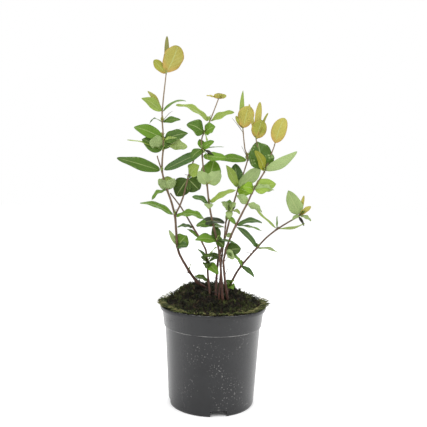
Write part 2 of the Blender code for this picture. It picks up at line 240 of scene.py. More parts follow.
LEAVES_BY_STEM = (
    ("stem_left", (
        # tip left
        (528, (178, 46), 4, 33, -2, 88, 10, "young"),
        (528, (154, 60), -3, 15, -2, 80, 15, "young_green"),
        (528, (167, 36), 14, 8, 0, 88, 20, "young_dark"),
        # pair left high
        (466, (141.5, 98), -8, 19, 3, 62, 18, "fresh"),
        (466, (148, 91), 8, 10, 3, 50, 10, "young_green"),
        (466, (186, 101), 4, 18, 5, 18, 20, "mid"),
        # collar left
        (450, (149.5, 124), -6, 8, 7, 15, 20, "dark"),
        (450, (180.5, 120), -8, 13, 3, 55, 15, "dark"),
        (450, (172.5, 111), 4, 2, 1, 20, 10, "stub"),
        # crown left
        (423, (134, 127), -4, 23, 3, 66, 15, "mid"),
        (413, (150, 141), -18, 23, 1, -74, 12, "pale"),
        (419, (188, 133.5), -6, 22, 3, 66, 15, "dark"),
        (419, (187, 147.5), -16, 22, 2, -62, 15, "fresh"),
        (404, (142, 139), -2, 27, 2, 75, 14, "dark"),
        (404, (166, 139), 4, 23, 2, 70, 14, "dark"),
        (404, (127, 140), -9, 8, 3, 25, 12, "fresh"),
        (404, (178, 145), -9, 7, 3, 20, 14, "fresh"),
        (423, (181, 128.5), 6, 2, 2, 20, 10, "stub"),
        # pair left long
        (370, (117, 158), -10, 22, 5, 62, 12, "dark"),
        (370, (206, 150), -6, 19, -3, 60, 12, "blue"),
        # fold left
        (340, (159, 179), -16, 15, 1, -75, 16, "pale"),
        (340, (175, 179), -20, 15, 1, -72, 16, "pale"),
        (340, (166.5, 176.5), 12, 27, 2, 70, 14, "fresh"),
        (340, (152, 200), -10, 11, 6, 30, 18, "mid"),
        # pair left mid
        (299, (140, 203), -10, 17, 5, 32, 16, "mid"),
        (299, (205, 219.5), -8, 18, 9, 34, 18, "mid"),
        # pair left low
        (250, (169, 230), 14, 8, 2, 60, 12, "pale"),
        (250, (186.5, 235.5), 8, 27, 0, 76, 12, "mid"),
        (250, (187.5, 246.5), -14, 15, 2, 40, 14, "blue"),
    )),
    ("stem_cross", (
        # pair cross
        (280, (177.5, 227), -6, 10, 3, 30, 14, "blue"),
        (263, (187, 229), 8, 7, 2, 40, 14, "mid"),
    )),
    ("fork_left", (
        # centre left
        (364, (199, 165), -14, 23, 2, 70, 14, "fresh"),
        (359, (176, 196), 6, 31, 1, 78, 12, "deep"),
        (359, (199, 190), 6, 31, 1, 78, 12, "deep"),
    )),
    ("stem_centre", (
        # bud centre
        (481, (218, 93), -4, 15, 0, 80, 12, "young"),
        (481, (206.5, 95.5), -2, 5, 1, 40, 12, "young"),
        (481, (226, 95), 6, 8, 0, 60, 12, "young_green"),
        # pair centre high
        (446, (176, 105), -6, 16, 7, 40, 18, "fresh"),
        (446, (234, 112), -6, 15, 3, 46, 14, "fresh"),
        # crown centre
        (429, (187, 124), -10, 25, 4, 66, 12, "dark"),
        (429, (215.5, 127), -6, 23, 2, 55, 16, "mid"),
        (429, (206.5, 141), -14, 10, 1, -40, 14, "fresh"),
        # cluster centre
        (404, (191, 159), -8, 15, 3, 60, 14, "dark"),
        (404, (200, 139), 4, 11, 1, 60, 14, "mid"),
        (404, (214, 141), -3, 13, 1, 60, 14, "mid"),
        (404, (224, 147), -4, 5, 1, 20, 12, "dark"),
        (393, (227, 158), -8, 15, 2, 66, 14, "mid"),
        (404, (208, 160), -12, 9, 2, -30, 14, "fresh"),
        (404, (216, 156), -6, 6, 1, 40, 12, "dry"),
        # pair centre mid
        (350, (199, 171), -20, 19, -1, -76, 12, "pale"),
        (350, (220, 171), -22, 22, -1, -76, 12, "pale"),
        (350, (214, 160), 14, 32, 2, 72, 10, "mid"),
        # pair centre low
        (322, (192, 197), -6, 13, 3, 40, 18, "blue"),
        (322, (236, 190), -6, 15, 3, 35, 16, "fresh"),
        (322, (208.8, 209), -16, 14, 2, -40, 14, "pale"),
        # low centre
        (265, (195, 240), -6, 17, 4, 50, 16, "mid"),
        (265, (214, 225), 6, 15, 1, 64, 14, "deep"),
        (265, (236, 244), -8, 7, 3, 25, 14, "blue"),
        (265, (224, 247), -6, 14, 2, 55, 14, "deep"),
    )),
    ("stem_short", (
        # arch leaf
        (264, (205, 238), -10, 14, 3, 60, 14, "mid"),
        (240, (202.5, 256), -12, 9, 2, 50, 14, "deep"),
    )),
    ("stem_inner", (
        (270, (232, 237.5), -6, 11, 2, 40, 14, "pale"),
        (309, (240, 214), -8, 9, 3, 30, 14, "fresh"),
        (309, (226, 222), -6, 9, 3, 40, 14, "mid"),
    )),
    ("stem_centre", (
        (289, (196, 226), -8, 14, 4, 45, 14, "dark"),
    )),
    ("stem_short", (
        (293, (197, 227), -8, 16, 9, 38, 20, "blackish"),
        (285, (200, 227.5), -4, 14, 4, 22, 16, "mid"),
        # rosette inner
        (312, (221, 202), -6, 13, 2, 50, 14, "pale"),
        (312, (236, 203), -8, 14, 2, 50, 14, "pale"),
        (312, (229, 200), 8, 16, 1, 70, 14, "mid"),
        (312, (229, 219), -10, 11, 2, 45, 14, "pale"),
    )),
    ("stem_inner", (
        # tip inner
        (444, (249, 106), -4, 27, -2, 84, 10, "young"),
        (444, (243, 90.5), 12, 9, 0, 86, 20, "fresh"),
        (444, (236, 116), 2, 8, 0, 70, 14, "young_green"),
        (437, (232, 118), -3, 2, 0, 30, 10, "stub"),
        # pair inner high
        (391, (218.5, 160), -4, 16, 6, 62, 14, "mid"),
        (391, (258, 162), -6, 11, 2, 28, 14, "blue"),
        (396, (241.5, 146), -2, 2, 0, 30, 10, "stub"),
        (396, (249.5, 149.5), -2, 2, 0, 30, 10, "stub"),
        # pair inner mid
        (345, (226, 165), -10, 16, 3, 64, 14, "fresh"),
        (345, (235, 164), 12, 23, 2, 70, 12, "blue"),
        (345, (261, 167.5), -16, 23, 1, -66, 12, "pale"),
        (345, (253, 194), -14, 22, 2, 60, 12, "bright"),
    )),
    ("tine_inner", (
        # tip right inner
        (420, (262, 120), -4, 23, -2, 84, 10, "young_green"),
        (420, (249, 104), 2, 6, 0, 70, 20, "young"),
        (420, (260, 102), 4, 10, 0, 76, 16, "young"),
        (420, (268, 113), 2, 5, 2, 50, 14, "young_green"),
    )),
    ("tine_outer", (
        # tip right outer
        (413, (284.5, 118), -4, 23, 2, 80, 10, "young"),
        (413, (276, 141), 4, 3, 0, 60, 14, "young_green"),
    )),
    ("stem_right", (
        # pair right high
        (372, (258, 141.5), 12, 38, 2, 80, 8, "dark"),
        (372, (255, 150.5), -14, 17, 2, 60, 14, "olive"),
        (372, (297, 151.5), -12, 18, -4, -60, 12, "pale"),
        # pair right mid
        (345, (276, 184), -8, 24, 3, 66, 12, "light"),
        (345, (274, 190), -16, 16, 2, -45, 12, "pale"),
        (345, (243, 187), -4, 19, 2, 66, 12, "bright"),
        # pair right low
        (322, (237, 195), -6, 15, 3, -50, 14, "pale"),
        (322, (262, 212), -10, 15, 3, -45, 14, "pale"),
        # narrow right
        (290, (262, 223), -6, 13, 6, 35, 16, "blue"),
        (290, (262, 231), -12, 7, 3, 20, 14, "mid"),
        (290, (226, 216), 6, 9, 3, 35, 14, "mid"),
        # low right
        (250, (241, 249), -6, 22, 1, 76, 12, "deep"),
        (250, (234, 259), -10, 15, 1, -60, 12, "pale"),
        (250, (242, 266), -6, 9, 4, 25, 12, "mid"),
    )),
    ("branch_low", (
        # branch pair low
        (220, (235.5, 256), -4, 8, 1, 45, 14, "blue"),
        (220, (254, 277), -6, 10, 2, 45, 14, "blue"),
        # branch pair mid
        (248, (236, 227), -8, 15, 4, 42, 16, "blue"),
        (248, (279, 253.5), -6, 9, 4, 24, 14, "pale"),
        # branch pair high
        (278, (252.5, 205.5), -6, 9, -2, 30, 14, "fresh"),
        (278, (277, 216), 0, 5, 0, 40, 12, "mid"),
        (278, (305, 223.5), -6, 9, -4, 24, 14, "fresh"),
        (300, (304, 226), -6, 6, 1, 40, 14, "dry"),
        # tip branch
        (302, (288, 190.5), -6, 25, 2, 84, 12, "pale"),
        (302, (304, 195.5), -2, 6, 0, 70, 14, "young"),
        (302, (311, 206.5), -4, 9, 2, 60, 14, "young"),
        (302, (292, 220), -8, 8, 2, 40, 14, "pale"),
        (302, (311, 221), -8, 9, 3, 40, 14, "pale"),
        # foot leaves
        (189, (226, 280), -8, 13, 3, 60, 12, "deep"),
        (189, (234, 289), -8, 13, 3, 50, 14, "mid"),
    )),
    ("stem_cross", (
        # shoot low
        (226, (197.5, 249), -6, 11, 2, 35, 14, "blue"),
        (226, (216.5, 247), -8, 10, 2, 30, 14, "fresh"),
        (226, (200.5, 257), -12, 10, 2, 45, 14, "deep"),
        (226, (219.5, 258), -14, 9, 2, 35, 14, "deep"),
        (226, (206.5, 268), -14, 14, 2, 55, 14, "deep"),
        (226, (218.5, 274), -20, 15, 3, 60, 14, "mid"),
        (197, (194, 277), -8, 11, 4, 40, 14, "deep"),
    )),
    ("stem_left", (
        (192, (193.5, 271), -6, 5, 1, 30, 12, "blackish"),
        (209, (192, 262), -6, 5, 1, 30, 12, "mid"),
    )),
)
LEAVES = tuple(Leaf(stem, *row) for stem, rows in LEAVES_BY_STEM for row in rows)

# Each kind of leaf: its piece, upper colour, lower colour
LEAF_KINDS = {
    "young": ("young", (0.33, 0.30, 0.060), (0.33, 0.31, 0.08)),
    "young_green": ("young", (0.25, 0.26, 0.035), (0.28, 0.30, 0.06)),
    "young_dark": ("young", (0.17, 0.17, 0.040), (0.19, 0.20, 0.05)),
    "olive": ("light", (0.19, 0.20, 0.012), (0.24, 0.25, 0.04)),
    "fresh": ("light", (0.20, 0.275, 0.045), (0.26, 0.34, 0.11)),
    "light": ("light", (0.195, 0.285, 0.040), (0.26, 0.34, 0.10)),
    "pale": ("light", (0.21, 0.28, 0.100), (0.25, 0.33, 0.13)),
    "bright": ("light", (0.14, 0.245, 0.012), (0.24, 0.32, 0.08)),
    "mid": ("dark", (0.088, 0.175, 0.011), (0.21, 0.28, 0.09)),
    "dark": ("dark", (0.050, 0.104, 0.008), (0.19, 0.26, 0.09)),
    "deep": ("dark", (0.035, 0.070, 0.004), (0.14, 0.20, 0.06)),
    "blue": ("dark", (0.044, 0.096, 0.016), (0.18, 0.25, 0.10)),
    "blackish": ("dark", (0.020, 0.030, 0.010), (0.08, 0.11, 0.05)),
    "stub": ("dark", (0.080, 0.090, 0.025), (0.09, 0.10, 0.03)),
    "dry": ("dark", (0.012, 0.009, 0.006), (0.02, 0.015, 0.010)),
}
# The masses that the young and the light leaves replace; the dark ones replace the rest
MASSES = {
    "young": ("tip_left", "bud_centre", "tip_inner", "tip_right_inner", "tip_right_outer",
              "tip_branch"),
    "light": ("pair_left_high", "fold_left", "rosette_inner", "pair_inner_mid", "pair_right_high",
              "pair_right_mid", "pair_right_low", "pair_branch_low", "pair_branch_mid",
              "pair_branch_high", "pair_centre_mid", "pair_centre_high"),
}
LEAF_STEPS = 16
LEAF_HALF_STEPS = 4
LEAF_ACROSS = 2 * LEAF_HALF_STEPS
LEAF_THICK = 0.00035
LEAF_EDGE_THICKNESS = 1.25
RIB_DEPTH = 0.00045
RIB_TOP_SHARE = 0.6
PETIOLE = 0.05
# Where along its length a leaf is widest, and how blunt its tip is (less is blunter)
OUTLINE = (0.40, 0.66)
YOUNG_OUTLINE = (0.55, 0.48)
FOOT_BLUNTNESS = 0.5
NARROWEST = 0.012
NARROWEST_EDGE = 0.0003
BEND_SKEW = 1.15
FOLD_EASE = 0.45
WAVE_HEIGHT = (0.03, 0.10)
WAVE_COUNT = (1.4, 2.6)
WIDEST_SHIFT = (-0.08, 0.08)
SWAY = (-0.03, 0.03)
VEIN_SLANT = -0.5

# Leaf colours: the foot of young leaves, the midrib, and how far the foot's colour reaches
YOUNG_FOOT = (0.42, 0.20, 0.05)
FOOT_TONE = 1.25
MIDRIB_COLOUR = (0.34, 0.40, 0.16, 1)
MIDRIB_HALF = 0.028
MIDRIB_SHARE = 0.45
FOOT_REACH = (0.30, -0.10)
FOOT_SHARE = 0.75
EDGE_HALF = 0.43
EDGE_SHARE = 0.35
LEAF_TONES = (0.84, 1.16)
LEAF_MOTTLE = 16
VEIN_SCALE = 2.6
VEIN_WAVER = 0.6
VEIN_DEPTH = 0.0005
VEIN_STRENGTH = 0.5
LEAF_SHEEN = 0.22
UPPER_ROUGHNESS = 0.45
UNDER_ROUGHNESS = 0.6

# Small shoots in the axils
SHOOT_GAPS = 0.15
SHOOT_REACH = (7, 14)
SHOOT_RISE = (0.5, 1.3)
SHOOT_TURN = (-0.5, 0.5)
SHOOT_WIDTH = 0.46
SHOOT_ARCH = 0.1
SHOOT_FACE = 40
SHOOT_FOLD = 20
SHADED_BELOW = 330


class PlantSettings(bpy.types.PropertyGroup):
    """Sizes and colours that a user would change."""
    leaf_scale: FloatProperty(name="Leaf width", description="Share of each leaf's usual width",
                              subtype="FACTOR", default=1.0, min=0.5, max=1.5)
    shoot_seed: IntProperty(name="Shoot seed", description="Seed of the small shoots", default=5)
    twig_seed: IntProperty(name="Twig seed", description="Seed of the dead twigs", default=8)
    moss_seed: IntProperty(name="Strand seed", description="Seed of the rim's strands", default=4)
    strands: IntProperty(name="Strands", description="Strands of moss at the rim", default=900, min=0)
    moss_density: FloatProperty(name="Moss", description="Moss tufts for each square metre",
                                default=90000.0, min=0)
    crumb_density: FloatProperty(name="Crumbs", description="Crumbs for each square metre",
                                 default=60000.0, min=0)
    pot_colour: FloatVectorProperty(name="Pot colour", description="Colour of the pot's plastic",
                                    subtype="COLOR", default=(0.014, 0.0143, 0.0155))
    bark_colour: FloatVectorProperty(name="Bark colour", description="Colour of the stems' bark",
                                     subtype="COLOR", default=(0.060, 0.026, 0.018))
    floor_colour: FloatVectorProperty(name="Floor colour", description="Colour of the floor",
                                      subtype="COLOR", default=(1.0, 1.0, 1.0))


def settings():
    """The scene's settings for the plant."""
    return bpy.context.scene.potted_plant


def add_object(name, mesh):
    """An object for a mesh, at the origin."""
    thing = bpy.data.objects.new(name, mesh)
    bpy.context.scene.collection.objects.link(thing)
    return thing


def add_shape(name, bm, materials=()):
    """An object for a shape, with its materials."""
    mesh = bpy.data.meshes.new(name)
    bm.to_mesh(mesh)
    bm.free()
    for material in materials:
        mesh.materials.append(material)
    return add_object(name, mesh)


def finish_piece(piece, nodes=()):
    """Lets a piece ride on the plant and stand for its nodes."""
    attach(piece, "root")
    if nodes:
        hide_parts(*nodes)


def evaluated_mesh(thing):
    """The plain mesh that an object's modifiers make."""
    bpy.context.view_layer.update()
    graph = bpy.context.evaluated_depsgraph_get()
    return bpy.data.meshes.new_from_object(thing.evaluated_get(graph))


def add_node(tree, kind, inputs=None, **values):
    """A node with its values set, and its inputs fed from sockets or set to plain values."""
    node = tree.nodes.new(kind)
    for name, value in values.items():
        setattr(node, name, value)
    for name, value in (inputs or {}).items():
        if isinstance(value, bpy.types.NodeSocket):
            tree.links.new(value, node.inputs[name])
        else:
            node.inputs[name].default_value = value
    return node


def add_math(tree, operation, *values):
    """The result of a Math node."""
    return add_node(tree, "ShaderNodeMath", dict(enumerate(values)), operation=operation).outputs[0]


def add_mix(tree, share, first, second):
    """A colour mixed from two by a share."""
    return add_node(tree, "ShaderNodeMix", {"Factor": share, "A": first, "B": second},
                    data_type="RGBA").outputs["Result"]


def add_range(tree, value, start, end, low=0.0, high=1.0):
    """A value taken from the range between start and end to the range between low and high."""
    return add_node(tree, "ShaderNodeMapRange",
                    {"Value": value, "From Min": start, "From Max": end, "To Min": low,
                     "To Max": high}).outputs["Result"]


def object_place(tree):
    """The place on the piece, in its own coordinates."""
    return add_node(tree, "ShaderNodeTexCoord").outputs["Object"]


def separated(tree, vector):
    """A vector's parts."""
    return add_node(tree, "ShaderNodeSeparateXYZ", {0: vector}).outputs


def new_tree(name, kind, inputs, outputs):
    """An empty node group with named sockets, with its inner start and end."""
    tree = bpy.data.node_groups.new(name, kind)
    for way, sockets in (("INPUT", inputs), ("OUTPUT", outputs)):
        for label, socket in sockets.items():
            tree.interface.new_socket(label, in_out=way, socket_type="NodeSocket" + socket)
    return tree, add_node(tree, "NodeGroupInput").outputs, add_node(tree, "NodeGroupOutput").inputs


def mottle_group():
    """A node group that spreads a colour between a darker and a lighter tone by noise."""
    if "Mottle" in bpy.data.node_groups:
        return bpy.data.node_groups["Mottle"]
    tree, start, end = new_tree(
        "Mottle", "ShaderNodeTree",
        {"Coordinates": "Vector", "Dark": "Color", "Light": "Color", "Scale": "Float",
         "Low": "Float", "High": "Float"},
        {"Color": "Color", "Mask": "Float"})
    spots = add_node(tree, "ShaderNodeTexNoise",
                     {"Vector": start["Coordinates"], "Scale": start["Scale"], "Detail": 5})
    mask = add_range(tree, spots.outputs["Fac"], start["Low"], start["High"])
    tree.links.new(add_mix(tree, mask, start["Dark"], start["Light"]), end["Color"])
    tree.links.new(mask, end["Mask"])
    return tree


def mottled(tree, coordinates, dark, light, scale, low=0.35, high=0.65):
    """The outputs of a Mottle group, fed with its colours and scale."""
    return add_node(tree, "ShaderNodeGroup",
                    {"Coordinates": coordinates, "Dark": dark, "Light": light, "Scale": scale,
                     "Low": low, "High": high}, node_tree=mottle_group()).outputs


def speckled(tree, coordinates, scale, low, high):
    """A mask of specks from a Mottle group."""
    return mottled(tree, coordinates, (0, 0, 0, 1), (1, 1, 1, 1), scale, low, high)["Mask"]


def blade_group():
    """A node group for a leaf: mottled, with a midrib, a coloured foot and margin, and side veins."""
    if "Leaf Blade" in bpy.data.node_groups:
        return bpy.data.node_groups["Leaf Blade"]
    tree, start, end = new_tree(
        "Leaf Blade", "ShaderNodeTree",
        {"Coordinates": "Vector", "Blade": "Vector", "Dark": "Color", "Light": "Color",
         "Foot": "Color"},
        {"Color": "Color", "Veins": "Float"})
    plain = mottled(tree, start["Coordinates"], start["Dark"], start["Light"], LEAF_MOTTLE)["Color"]
    along, across, _ = separated(tree, start["Blade"])
    rib = add_math(tree, "COMPARE", across, 0.5, MIDRIB_HALF)
    ribbed = add_mix(tree, add_math(tree, "MULTIPLY", rib, MIDRIB_SHARE), plain, MIDRIB_COLOUR)
    near_foot = add_range(tree, along, *FOOT_REACH, 0.0, FOOT_SHARE)
    inside = add_math(tree, "COMPARE", across, 0.5, EDGE_HALF)
    near_edge = add_range(tree, inside, 0.0, 1.0, EDGE_SHARE, 0.0)
    tinted = add_math(tree, "MAXIMUM", near_foot, near_edge)
    tree.links.new(add_mix(tree, tinted, ribbed, start["Foot"]), end["Color"])
    veins = add_node(tree, "ShaderNodeTexWave",
                     {"Vector": start["Blade"], "Scale": VEIN_SCALE, "Distortion": VEIN_WAVER},
                     wave_type="BANDS", bands_direction="X")
    tree.links.new(veins.outputs["Fac"], end["Veins"])
    return tree


def new_material(name, roughness, specular, colour=None):
    """A material with its node tree and shader, in a plain colour if one is given."""
    material = bpy.data.materials.new(name)
    material.use_nodes = True
    shader = material.node_tree.nodes["Principled BSDF"]
    shader.inputs["Roughness"].default_value = roughness
    shader.inputs["Specular IOR Level"].default_value = specular
    if colour:
        shader.inputs["Base Color"].default_value = (*colour, 1)
    return material, material.node_tree, shader


def plain_materials(colours, roughness, specular):
    """Materials in plain colours, by name."""
    return [new_material(name, roughness, specular, colour)[0] for name, colour in colours.items()]


def mottled_material(name, roughness, specular, dark, light, scale, low=0.35, high=0.65, bump=0.0):
    """A material that a Mottle group colours, and roughens where it has a bump."""
    material, tree, shader = new_material(name, roughness, specular)
    tone = mottled(tree, object_place(tree), (*dark, 1), (*light, 1), scale, low, high)
    tree.links.new(tone["Color"], shader.inputs["Base Color"])
    if bump:
        add_bump(tree, shader, tone["Mask"], bump)
    return material


def add_bump(tree, shader, height, distance, strength=1.0):
    """Feeds a height into the shader's normal through a Bump node."""
    bump = add_node(tree, "ShaderNodeBump",
                    {"Distance": distance, "Strength": strength, "Height": height})
    tree.links.new(bump.outputs["Normal"], shader.inputs["Normal"])


def shade(colour, factor):
    """A colour made darker or lighter by a factor, with its alpha."""
    return (*(min(1.0, value * factor) for value in colour), 1)


def leaf_material(name, colour, foot_colour, roughness):
    """A leaf's surface, coloured and veined by a Leaf Blade group."""
    material, tree, shader = new_material(name, roughness, LEAF_SHEEN)
    blade = add_node(tree, "ShaderNodeUVMap", uv_map="Blade").outputs["UV"]
    dark, light = LEAF_TONES
    leaf = add_node(tree, "ShaderNodeGroup",
                    {"Coordinates": object_place(tree), "Blade": blade,
                     "Dark": shade(colour, dark), "Light": shade(colour, light),
                     "Foot": foot_colour}, node_tree=blade_group()).outputs
    tree.links.new(leaf["Color"], shader.inputs["Base Color"])
    add_bump(tree, shader, leaf["Veins"], VEIN_DEPTH, VEIN_STRENGTH)
    return material


def centre_line(node):
    """The middle of a limb's solid at even heights, from its foot to its tip."""
    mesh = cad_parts[node].data
    low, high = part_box(node)
    count = max(FEWEST_RINGS, round((high.z - low.z) / RING_SPACING))
    edges = [[mesh.vertices[i].co for i in edge.vertices] for edge in mesh.edges]
    line = []
    for i in range(count + 1):
        level = low.z + (high.z - low.z) * (END_GAP + (1 - 2 * END_GAP) * i / count)
        crossings = []
        for a, b in edges:
            if (a.z - level) * (b.z - level) < 0:
                crossings.append(a.lerp(b, (level - a.z) / (b.z - a.z)))
        if crossings:
            line.append(sum(crossings, Vector()) / len(crossings))
    return line


def smoothed(line):
    """A line whose inner points are drawn to their neighbours, a few times over."""
    for _ in range(LINE_SMOOTHING):
        middle = [(a + 2 * b + c) / 4 for a, b, c in zip(line, line[1:], line[2:])]
        line = [line[0], *middle, line[-1]]
    return line


def stem_lines():
    """Each stem's smoothed middle line."""
    return {name: smoothed(centre_line(name)) for name in STEM_RADII}


def joint_place(lines, stem, height):
    """The point of a stem's middle line at a height."""
    line = lines[stem]
    for a, b in zip(line, line[1:]):
        if a.z <= height <= b.z:
            return a.lerp(b, (height - a.z) / (b.z - a.z))
    return line[0] if height < line[0].z else line[-1]


def tube(bm, line, radii, sides, material=0, relief=0.0):
    """Adds a closed tube along a line, with a radius at each point and a relief on its surface."""
    side = (line[1] - line[0]).orthogonal().normalized()
    rings = []
    last = len(line) - 1
    for i, place in enumerate(line):
        along = (line[min(i + 1, last)] - line[max(i - 1, 0)]).normalized()
        side = (side - along * side.dot(along)).normalized()
        other = along.cross(side)
        ring = []
        for k in range(sides):
            turn = 2 * math.pi * k / sides
            out = side * math.cos(turn) + other * math.sin(turn)
            radius = radii[i]
            if relief:
                spot = Vector((out.x, out.y, 0)) * BARK_RIDGES + place * BARK_LUMPS
                radius *= 1 + relief * noise.noise(spot)
            ring.append(bm.verts.new(place + out * radius))
        rings.append(ring)
    for low, high in zip(rings, rings[1:]):
        for k in range(sides):
            n = (k + 1) % sides
            face = bm.faces.new((low[k], low[n], high[n], high[k]))
            face.material_index = material
            face.smooth = True
    bm.faces.new(list(reversed(rings[0]))).material_index = material
    bm.faces.new(rings[-1]).material_index = material


def camera_axes():
    """The camera's directions to the right, up and ahead."""
    ahead = Vector((0, math.cos(CAMERA_PITCH), -math.sin(CAMERA_PITCH)))
    level = Vector((1, 0, 0))
    above = level.cross(ahead)
    right = level * math.cos(CAMERA_ROLL) + above * math.sin(CAMERA_ROLL)
    up = above * math.cos(CAMERA_ROLL) - level * math.sin(CAMERA_ROLL)
    return right, up, ahead


def seen_at(spot, depth):
    """The point at a depth (along Y) that the camera sees at a spot of the photograph."""
    right, up, ahead = camera_axes()
    pixel = SENSOR / CAMERA_LENS / PHOTO_SIDE
    across = (spot[0] - PHOTO_SIDE / 2) * pixel
    down = (spot[1] - PHOTO_SIDE / 2) * pixel
    ray = ahead + right * across - up * down
    return CAMERA_PLACE + ray * ((depth - CAMERA_PLACE.y) / ray.y)


def leaf_outline(t, young, shift):
    """The share of a leaf's full width at a share of its length; young leaves end blunter."""
    widest, power = YOUNG_OUTLINE if young else OUTLINE
    widest += shift
    if t < widest:
        return math.sin(math.pi / 2 * t / widest) ** FOOT_BLUNTNESS
    return max(0.0, math.cos(math.pi / 2 * (t - widest) / (1 - widest))) ** power


def leaf_axes(along, face):
    """A leaf's upper direction and its direction across, when it turns its face to the viewer."""
    chord = along.normalized()
    upward = (UP - chord * UP.dot(chord)).normalized()
    facing = (TO_VIEWER - chord * TO_VIEWER.dot(chord)).normalized()
    turn = math.radians(face)
    normal = (upward * math.cos(turn) + facing * math.sin(turn)).normalized()
    return normal, chord.cross(normal)


def leaf_sheets(bm, base, tip, leaf, width, young, chance):
    """Adds the points of a leaf's upper and lower sheet, in rows from its foot to its tip."""
    along = tip - base
    normal, side = leaf_axes(along, leaf.face)
    wave = chance.uniform(*WAVE_HEIGHT)
    waves = chance.uniform(*WAVE_COUNT)
    shift = chance.uniform(*WIDEST_SHIFT)
    phase = chance.uniform(0, 2 * math.pi)
    sway = chance.uniform(*SWAY) * along.length
    rise = math.tan(math.radians(leaf.fold))
    arch = leaf.arch * MM
    top, bottom = [], []
    for i in range(LEAF_STEPS + 1):
        t = (1 - math.cos(math.pi * i / LEAF_STEPS)) / 2
        half = max(width / 2 * leaf_outline(t, young, shift), width * NARROWEST + NARROWEST_EDGE)
        bend = math.sin(math.pi * t ** BEND_SKEW)
        spine = base + along * (PETIOLE + (1 - PETIOLE) * t) + normal * (arch * bend)
        spine += side * (sway * bend)
        top.append([])
        bottom.append([])
        for k in range(-LEAF_HALF_STEPS, LEAF_HALF_STEPS + 1):
            s = k / LEAF_HALF_STEPS
            lift = abs(s) * half * rise * (1 - FOLD_EASE * abs(s))
            lift += wave * width * math.sin(2 * math.pi * waves * t + phase + s) * s * s
            place = spine + side * (s * half) + normal * lift
            thick = LEAF_THICK * (LEAF_EDGE_THICKNESS - abs(s)) / 2
            rib = RIB_DEPTH * (1 - t) if k == 0 else 0.0
            top[-1].append(bm.verts.new(place + normal * (thick - rib * RIB_TOP_SHARE)))
            bottom[-1].append(bm.verts.new(place - normal * (thick + rib)))
    return top, bottom


def add_leaf(bm, uv, base, tip, leaf, width, materials, young, chance):
    """Adds a leaf as a thin closed blade: upper sheet, lower sheet and margin between them."""
    top, bottom = leaf_sheets(bm, base, tip, leaf, width, young, chance)
    upper, lower = materials

    def quad(corners, index, places=((0, 0),) * 4):
        made = bm.faces.new(corners)
        made.material_index = index
        made.smooth = True
        for loop, place in zip(made.loops, places):
            loop[uv].uv = place

    for i in range(LEAF_STEPS):
        for k in range(LEAF_ACROSS):
            spots = [(a / LEAF_STEPS + abs(b / LEAF_ACROSS - 0.5) * VEIN_SLANT, b / LEAF_ACROSS)
                     for a, b in ((i, k), (i + 1, k), (i + 1, k + 1), (i, k + 1))]
            quad((top[i][k], top[i + 1][k], top[i + 1][k + 1], top[i][k + 1]), upper, spots)
            quad((bottom[i][k + 1], bottom[i + 1][k + 1], bottom[i + 1][k], bottom[i][k]), lower,
                 spots[::-1])
        quad((bottom[i][0], bottom[i + 1][0], top[i + 1][0], top[i][0]), lower)
        quad((top[i][-1], top[i + 1][-1], bottom[i + 1][-1], bottom[i][-1]), lower)
    for k in range(LEAF_ACROSS):
        quad((top[0][k], top[0][k + 1], bottom[0][k + 1], bottom[0][k]), lower)
        quad((bottom[-1][k], bottom[-1][k + 1], top[-1][k + 1], top[-1][k]), lower)


def heap_surface():
    """Gives the height of the compost's top, with the stems' sockets passed over."""
    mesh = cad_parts["compost"].data
    tree = BVHTree.FromPolygons([vert.co for vert in mesh.vertices],
                                [tuple(face.vertices) for face in mesh.polygons])
    edge = HEAP_RADIUS - HEAP_PROBE_EDGE

    def height(x, y):
        found = []
        for i in range(HEAP_PROBES):
            turn = 2 * math.pi / HEAP_PROBES * i
            spot = Vector((x + HEAP_PROBE_REACH * math.cos(turn),
                           y + HEAP_PROBE_REACH * math.sin(turn), 0))
            if spot.length > edge:
                spot *= edge / spot.length
            hit = tree.ray_cast(Vector((spot.x, spot.y, 1)), -UP)[0]
            if hit:
                found.append(hit.z)
        found.sort()
        return found[len(found) // 2]

    return height


def scatter_tree(name, single, material):
    """A node tree that scatters copies of an object over the flatter faces of a surface."""
    tree, start, end = new_tree(
        name, "GeometryNodeTree",
        {"Geometry": "Geometry", "Density": "Float", "Smallest": "Float", "Largest": "Float",
         "Tilt": "Float", "Seed": "Int"},
        {"Geometry": "Geometry"})
    normal = add_node(tree, "GeometryNodeInputNormal").outputs[0]
    flatter = add_node(tree, "FunctionNodeCompare", {0: separated(tree, normal)["Z"], 1: STEEPEST},
                       operation="GREATER_THAN").outputs[0]
    points = add_node(tree, "GeometryNodeDistributePointsOnFaces",
                      {"Mesh": start["Geometry"], "Selection": flatter,
                       "Density": start["Density"], "Seed": start["Seed"]}).outputs["Points"]
    shape = add_node(tree, "GeometryNodeObjectInfo", {"Object": single}).outputs["Geometry"]
    size = add_node(tree, "FunctionNodeRandomValue",
                    {2: start["Smallest"], 3: start["Largest"], "Seed": start["Seed"]}).outputs[1]
    back = add_math(tree, "MULTIPLY", start["Tilt"], -1)
    low = add_node(tree, "ShaderNodeCombineXYZ", {"X": back, "Y": back}).outputs[0]
    high = add_node(tree, "ShaderNodeCombineXYZ",
                    {"X": start["Tilt"], "Y": start["Tilt"], "Z": 2 * math.pi}).outputs[0]
    turn = add_node(tree, "FunctionNodeRandomValue", {0: low, 1: high},
                    data_type="FLOAT_VECTOR").outputs[0]
    copies = add_node(tree, "GeometryNodeInstanceOnPoints",
                      {"Points": points, "Instance": shape, "Scale": size, "Rotation": turn})
    real = add_node(tree, "GeometryNodeRealizeInstances", {0: copies.outputs[0]})
    paint = add_node(tree, "GeometryNodeSetMaterial",
                     {"Geometry": real.outputs[0], "Material": material})
    tree.links.new(paint.outputs[0], end[0])
    return tree


